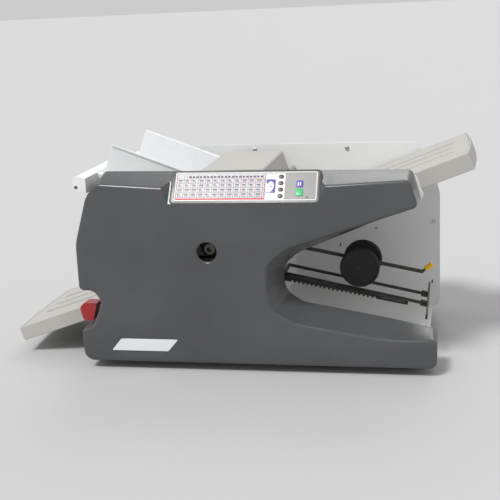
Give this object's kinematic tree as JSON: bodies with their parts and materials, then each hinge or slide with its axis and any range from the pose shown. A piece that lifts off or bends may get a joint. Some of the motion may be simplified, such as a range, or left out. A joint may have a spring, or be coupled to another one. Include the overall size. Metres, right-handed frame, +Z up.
{
  "type": "paper folding machine",
  "caption": "Tabletop buckle paper folder with an inclined feed table, two ribbed fold plates, a C-shaped front cover and a wheeled exit stacker.",
  "frame": {"origin": "middle of the footprint, on the table that the feet stand on", "axes": "+X along the paper path from the feed table to the exit, +Y from the operator's side to the back, +Z up"},
  "size_m": [0.959, 0.451, 0.4405],
  "materials": {
    "dark_shell": "satin moulded, fine texture",
    "pale_panel": "satin powder coat",
    "warm_plastic": "satin moulded",
    "white_plastic": "satin",
    "near_guide_paint": "satin",
    "far_guide_paint": "gloss",
    "bezel": "semi-gloss",
    "printed_film": "printed film",
    "display": "clear window over a lit display",
    "key_dark": "satin",
    "key_green": "satin",
    "key_blue": "satin",
    "badge": "semi-gloss",
    "black_plastic": "satin",
    "black_rubber": "matt",
    "roller_rubber": "ground rubber on a steel core",
    "steel": "satin",
    "aluminium": "milled",
    "dark_rod": "blackened",
    "yellow_grip": "satin",
    "red_plastic": "semi-gloss",
    "motor_paint": "satin",
    "board": "solder mask",
    "friction_pad": "matt"
  },
  "bodies": {
    "root": {"base_pan": "steel", "front_side_frame": "pale_panel", "rear_side_panel": "pale_panel", "front_cover": "dark_shell", "rear_cover": "dark_shell", "name_badge": "badge", "mains_inlet": "black_plastic", "front_left_foot": "black_rubber", "front_right_foot": "black_rubber", "rear_left_foot": "black_rubber", "rear_right_foot": "black_rubber", "stacker_rods": "dark_rod", "notched_rail": "black_plastic", "exit_deck": "white_plastic", "arm_pivot_rod": "steel", "hinge_rod": "steel", "drive_belt": "black_rubber", "feed_belt": "black_rubber", "drive_motor": "motor_paint", "front_bearing_block": "aluminium", "rear_bearing_block": "aluminium", "circuit_board": "board", "power_supply": "steel", "separator_pad": "friction_pad", "feed_table": "white_plastic", "control_bezel": "bezel", "folding_chart": "printed_film", "display_window": "display", "panel_screw_1": "steel", "panel_screw_2": "steel"},
    "crank": {"crank_shaft": "steel"},
    "motor_rotor": {"motor_pulley": "steel"},
    "feed_shaft": {"feed_roller": "roller_rubber"},
    "roller_1": {"fold_roller_1": "roller_rubber"},
    "roller_2": {"fold_roller_2": "roller_rubber"},
    "roller_3": {"fold_roller_3": "roller_rubber"},
    "roller_4": {"fold_roller_4": "roller_rubber"},
    "upper_plate": {"fold_plate_1": "warm_plastic", "fold_plate_1_cover": "warm_plastic"},
    "upper_stop": {"fold_stop_1": "aluminium"},
    "lower_plate": {"fold_plate_2": "warm_plastic", "fold_plate_2_cover": "warm_plastic"},
    "lower_stop": {"fold_stop_2": "aluminium"},
    "lever": {"release_lever": "red_plastic"},
    "head_lid": {"feed_head_cover": "warm_plastic"},
    "near_guide": {"near_paper_guide": "near_guide_paint"},
    "far_guide": {"far_paper_guide": "far_guide_paint"},
    "arm": {"stacker_arm": "dark_rod", "arm_grip": "yellow_grip"},
    "carriage": {"wheel_carriage": "black_plastic"},
    "near_wheel": {"near_stacker_wheel": "black_rubber"},
    "far_wheel": {"far_stacker_wheel": "black_rubber"},
    "stop": {"stop_bar": "black_plastic"},
    "rocker": {"power_rocker": "black_plastic"},
    "option_key_1": {"option_key_1": "key_dark"},
    "option_key_2": {"option_key_2": "key_dark"},
    "option_key_3": {"option_key_3": "key_dark"},
    "option_key_4": {"option_key_4": "key_dark"},
    "start_key": {"start_key": "key_green"},
    "stop_key": {"stop_key": "key_blue"}
  },
  "joints": [
    {"name": "crank_spin", "type": "hinge", "parent": "root", "child": "crank", "pos_m": [-0.02911, -0.1655, 0.2465], "axis": [0, 1, 0], "continuous": true},
    {"name": "motor_spin", "type": "hinge", "parent": "root", "child": "motor_rotor", "pos_m": [-0.17461, -0.1355, 0.236], "axis": [0, 1, 0], "continuous": true},
    {"name": "roller_1_spin", "type": "hinge", "parent": "root", "child": "roller_1", "pos_m": [0.04979, 0.0045, 0.2706], "axis": [0, 1, 0], "continuous": true},
    {"name": "roller_2_spin", "type": "hinge", "parent": "root", "child": "roller_2", "pos_m": [0.04979, 0.0045, 0.234], "axis": [0, 1, 0], "continuous": true},
    {"name": "roller_3_spin", "type": "hinge", "parent": "root", "child": "roller_3", "pos_m": [0.06526, 0.0045, 0.20083], "axis": [0, 1, 0], "continuous": true},
    {"name": "roller_4_spin", "type": "hinge", "parent": "root", "child": "roller_4", "pos_m": [0.05759, 0.0045, 0.16504], "axis": [0, 1, 0], "continuous": true},
    {"name": "feed_spin", "type": "hinge", "parent": "root", "child": "feed_shaft", "pos_m": [0.00982, 0.0045, 0.31018], "axis": [0, 1, 0], "continuous": true},
    {"name": "upper_plate_slide", "type": "slide", "parent": "root", "child": "upper_plate", "axis": [0.9367, 0, 0.3502], "range_m": [0, 0.25]},
    {"name": "upper_stop_slide", "type": "slide", "parent": "upper_plate", "child": "upper_stop", "axis": [0.9367, 0, 0.3502], "range_m": [-0.15, 0.16]},
    {"name": "lower_plate_slide", "type": "slide", "parent": "root", "child": "lower_plate", "axis": [-0.9472, 0, -0.3206], "range_m": [0, 0.06]},
    {"name": "lower_stop_slide", "type": "slide", "parent": "lower_plate", "child": "lower_stop", "axis": [-0.9472, 0, -0.3206], "range_m": [-0.2, 0.2]},
    {"name": "lever_turn", "type": "hinge", "parent": "root", "child": "lever", "pos_m": [-0.28161, -0.1655, 0.12], "axis": [0, 1, 0], "range_deg": [0, 25]},
    {"name": "head_lid_turn", "type": "hinge", "parent": "root", "child": "head_lid", "pos_m": [0.08539, 0.0045, 0.346], "axis": [0, 1, 0], "range_deg": [0, 80]},
    {"name": "near_guide_slide", "type": "slide", "parent": "root", "child": "near_guide", "axis": [0, 1, 0], "range_m": [-0.02, 0.05]},
    {"name": "far_guide_slide", "type": "slide", "parent": "root", "child": "far_guide", "axis": [0, 1, 0], "range_m": [-0.05, 0.01]},
    {"name": "arm_lift", "type": "hinge", "parent": "root", "child": "arm", "pos_m": [0.09339, -0.0085, 0.2091], "axis": [0, -1, 0], "range_deg": [0, 25]},
    {"name": "carriage_slide", "type": "slide", "parent": "arm", "child": "carriage", "axis": [0.9796, 0, -0.2011], "range_m": [-0.07, 0.03]},
    {"name": "near_wheel_spin", "type": "hinge", "parent": "carriage", "child": "near_wheel", "pos_m": [0.24675, -0.0445, 0.16945], "axis": [0, 1, 0], "continuous": true},
    {"name": "far_wheel_spin", "type": "hinge", "parent": "carriage", "child": "far_wheel", "pos_m": [0.24675, 0.0275, 0.16945], "axis": [0, 1, 0], "continuous": true},
    {"name": "stop_slide", "type": "slide", "parent": "root", "child": "stop", "axis": [0.9778, 0, -0.2096], "range_m": [-0.03, 0]},
    {"name": "rocker_turn", "type": "hinge", "parent": "root", "child": "rocker", "pos_m": [-0.14461, 0.2145, 0.075], "axis": [1, 0, 0], "range_deg": [-8, 8]},
    {"name": "option_key_1_press", "type": "slide", "parent": "root", "child": "option_key_1", "axis": [0, 0.7986, -0.6018], "range_m": [0, 0.0008], "stiffness_N_per_m": 300},
    {"name": "option_key_2_press", "type": "slide", "parent": "root", "child": "option_key_2", "axis": [0, 0.7986, -0.6018], "range_m": [0, 0.0008], "stiffness_N_per_m": 300},
    {"name": "option_key_3_press", "type": "slide", "parent": "root", "child": "option_key_3", "axis": [0, 0.7986, -0.6018], "range_m": [0, 0.0008], "stiffness_N_per_m": 300},
    {"name": "option_key_4_press", "type": "slide", "parent": "root", "child": "option_key_4", "axis": [0, 0.7986, -0.6018], "range_m": [0, 0.0008], "stiffness_N_per_m": 300},
    {"name": "start_key_press", "type": "slide", "parent": "root", "child": "start_key", "axis": [0, 0.7986, -0.6018], "range_m": [0, 0.0008], "stiffness_N_per_m": 300},
    {"name": "stop_key_press", "type": "slide", "parent": "root", "child": "stop_key", "axis": [0, 0.7986, -0.6018], "range_m": [0, 0.0008], "stiffness_N_per_m": 300}
  ],
  "couplings": [
    {"joint": "motor_spin", "follows": "crank_spin", "ratio": 2},
    {"joint": "roller_2_spin", "follows": "crank_spin", "ratio": 1.6},
    {"joint": "roller_1_spin", "follows": "crank_spin", "ratio": -1.6},
    {"joint": "roller_3_spin", "follows": "crank_spin", "ratio": -1.6},
    {"joint": "roller_4_spin", "follows": "crank_spin", "ratio": 1.6},
    {"joint": "feed_spin", "follows": "crank_spin", "ratio": -1.6}
  ]
}
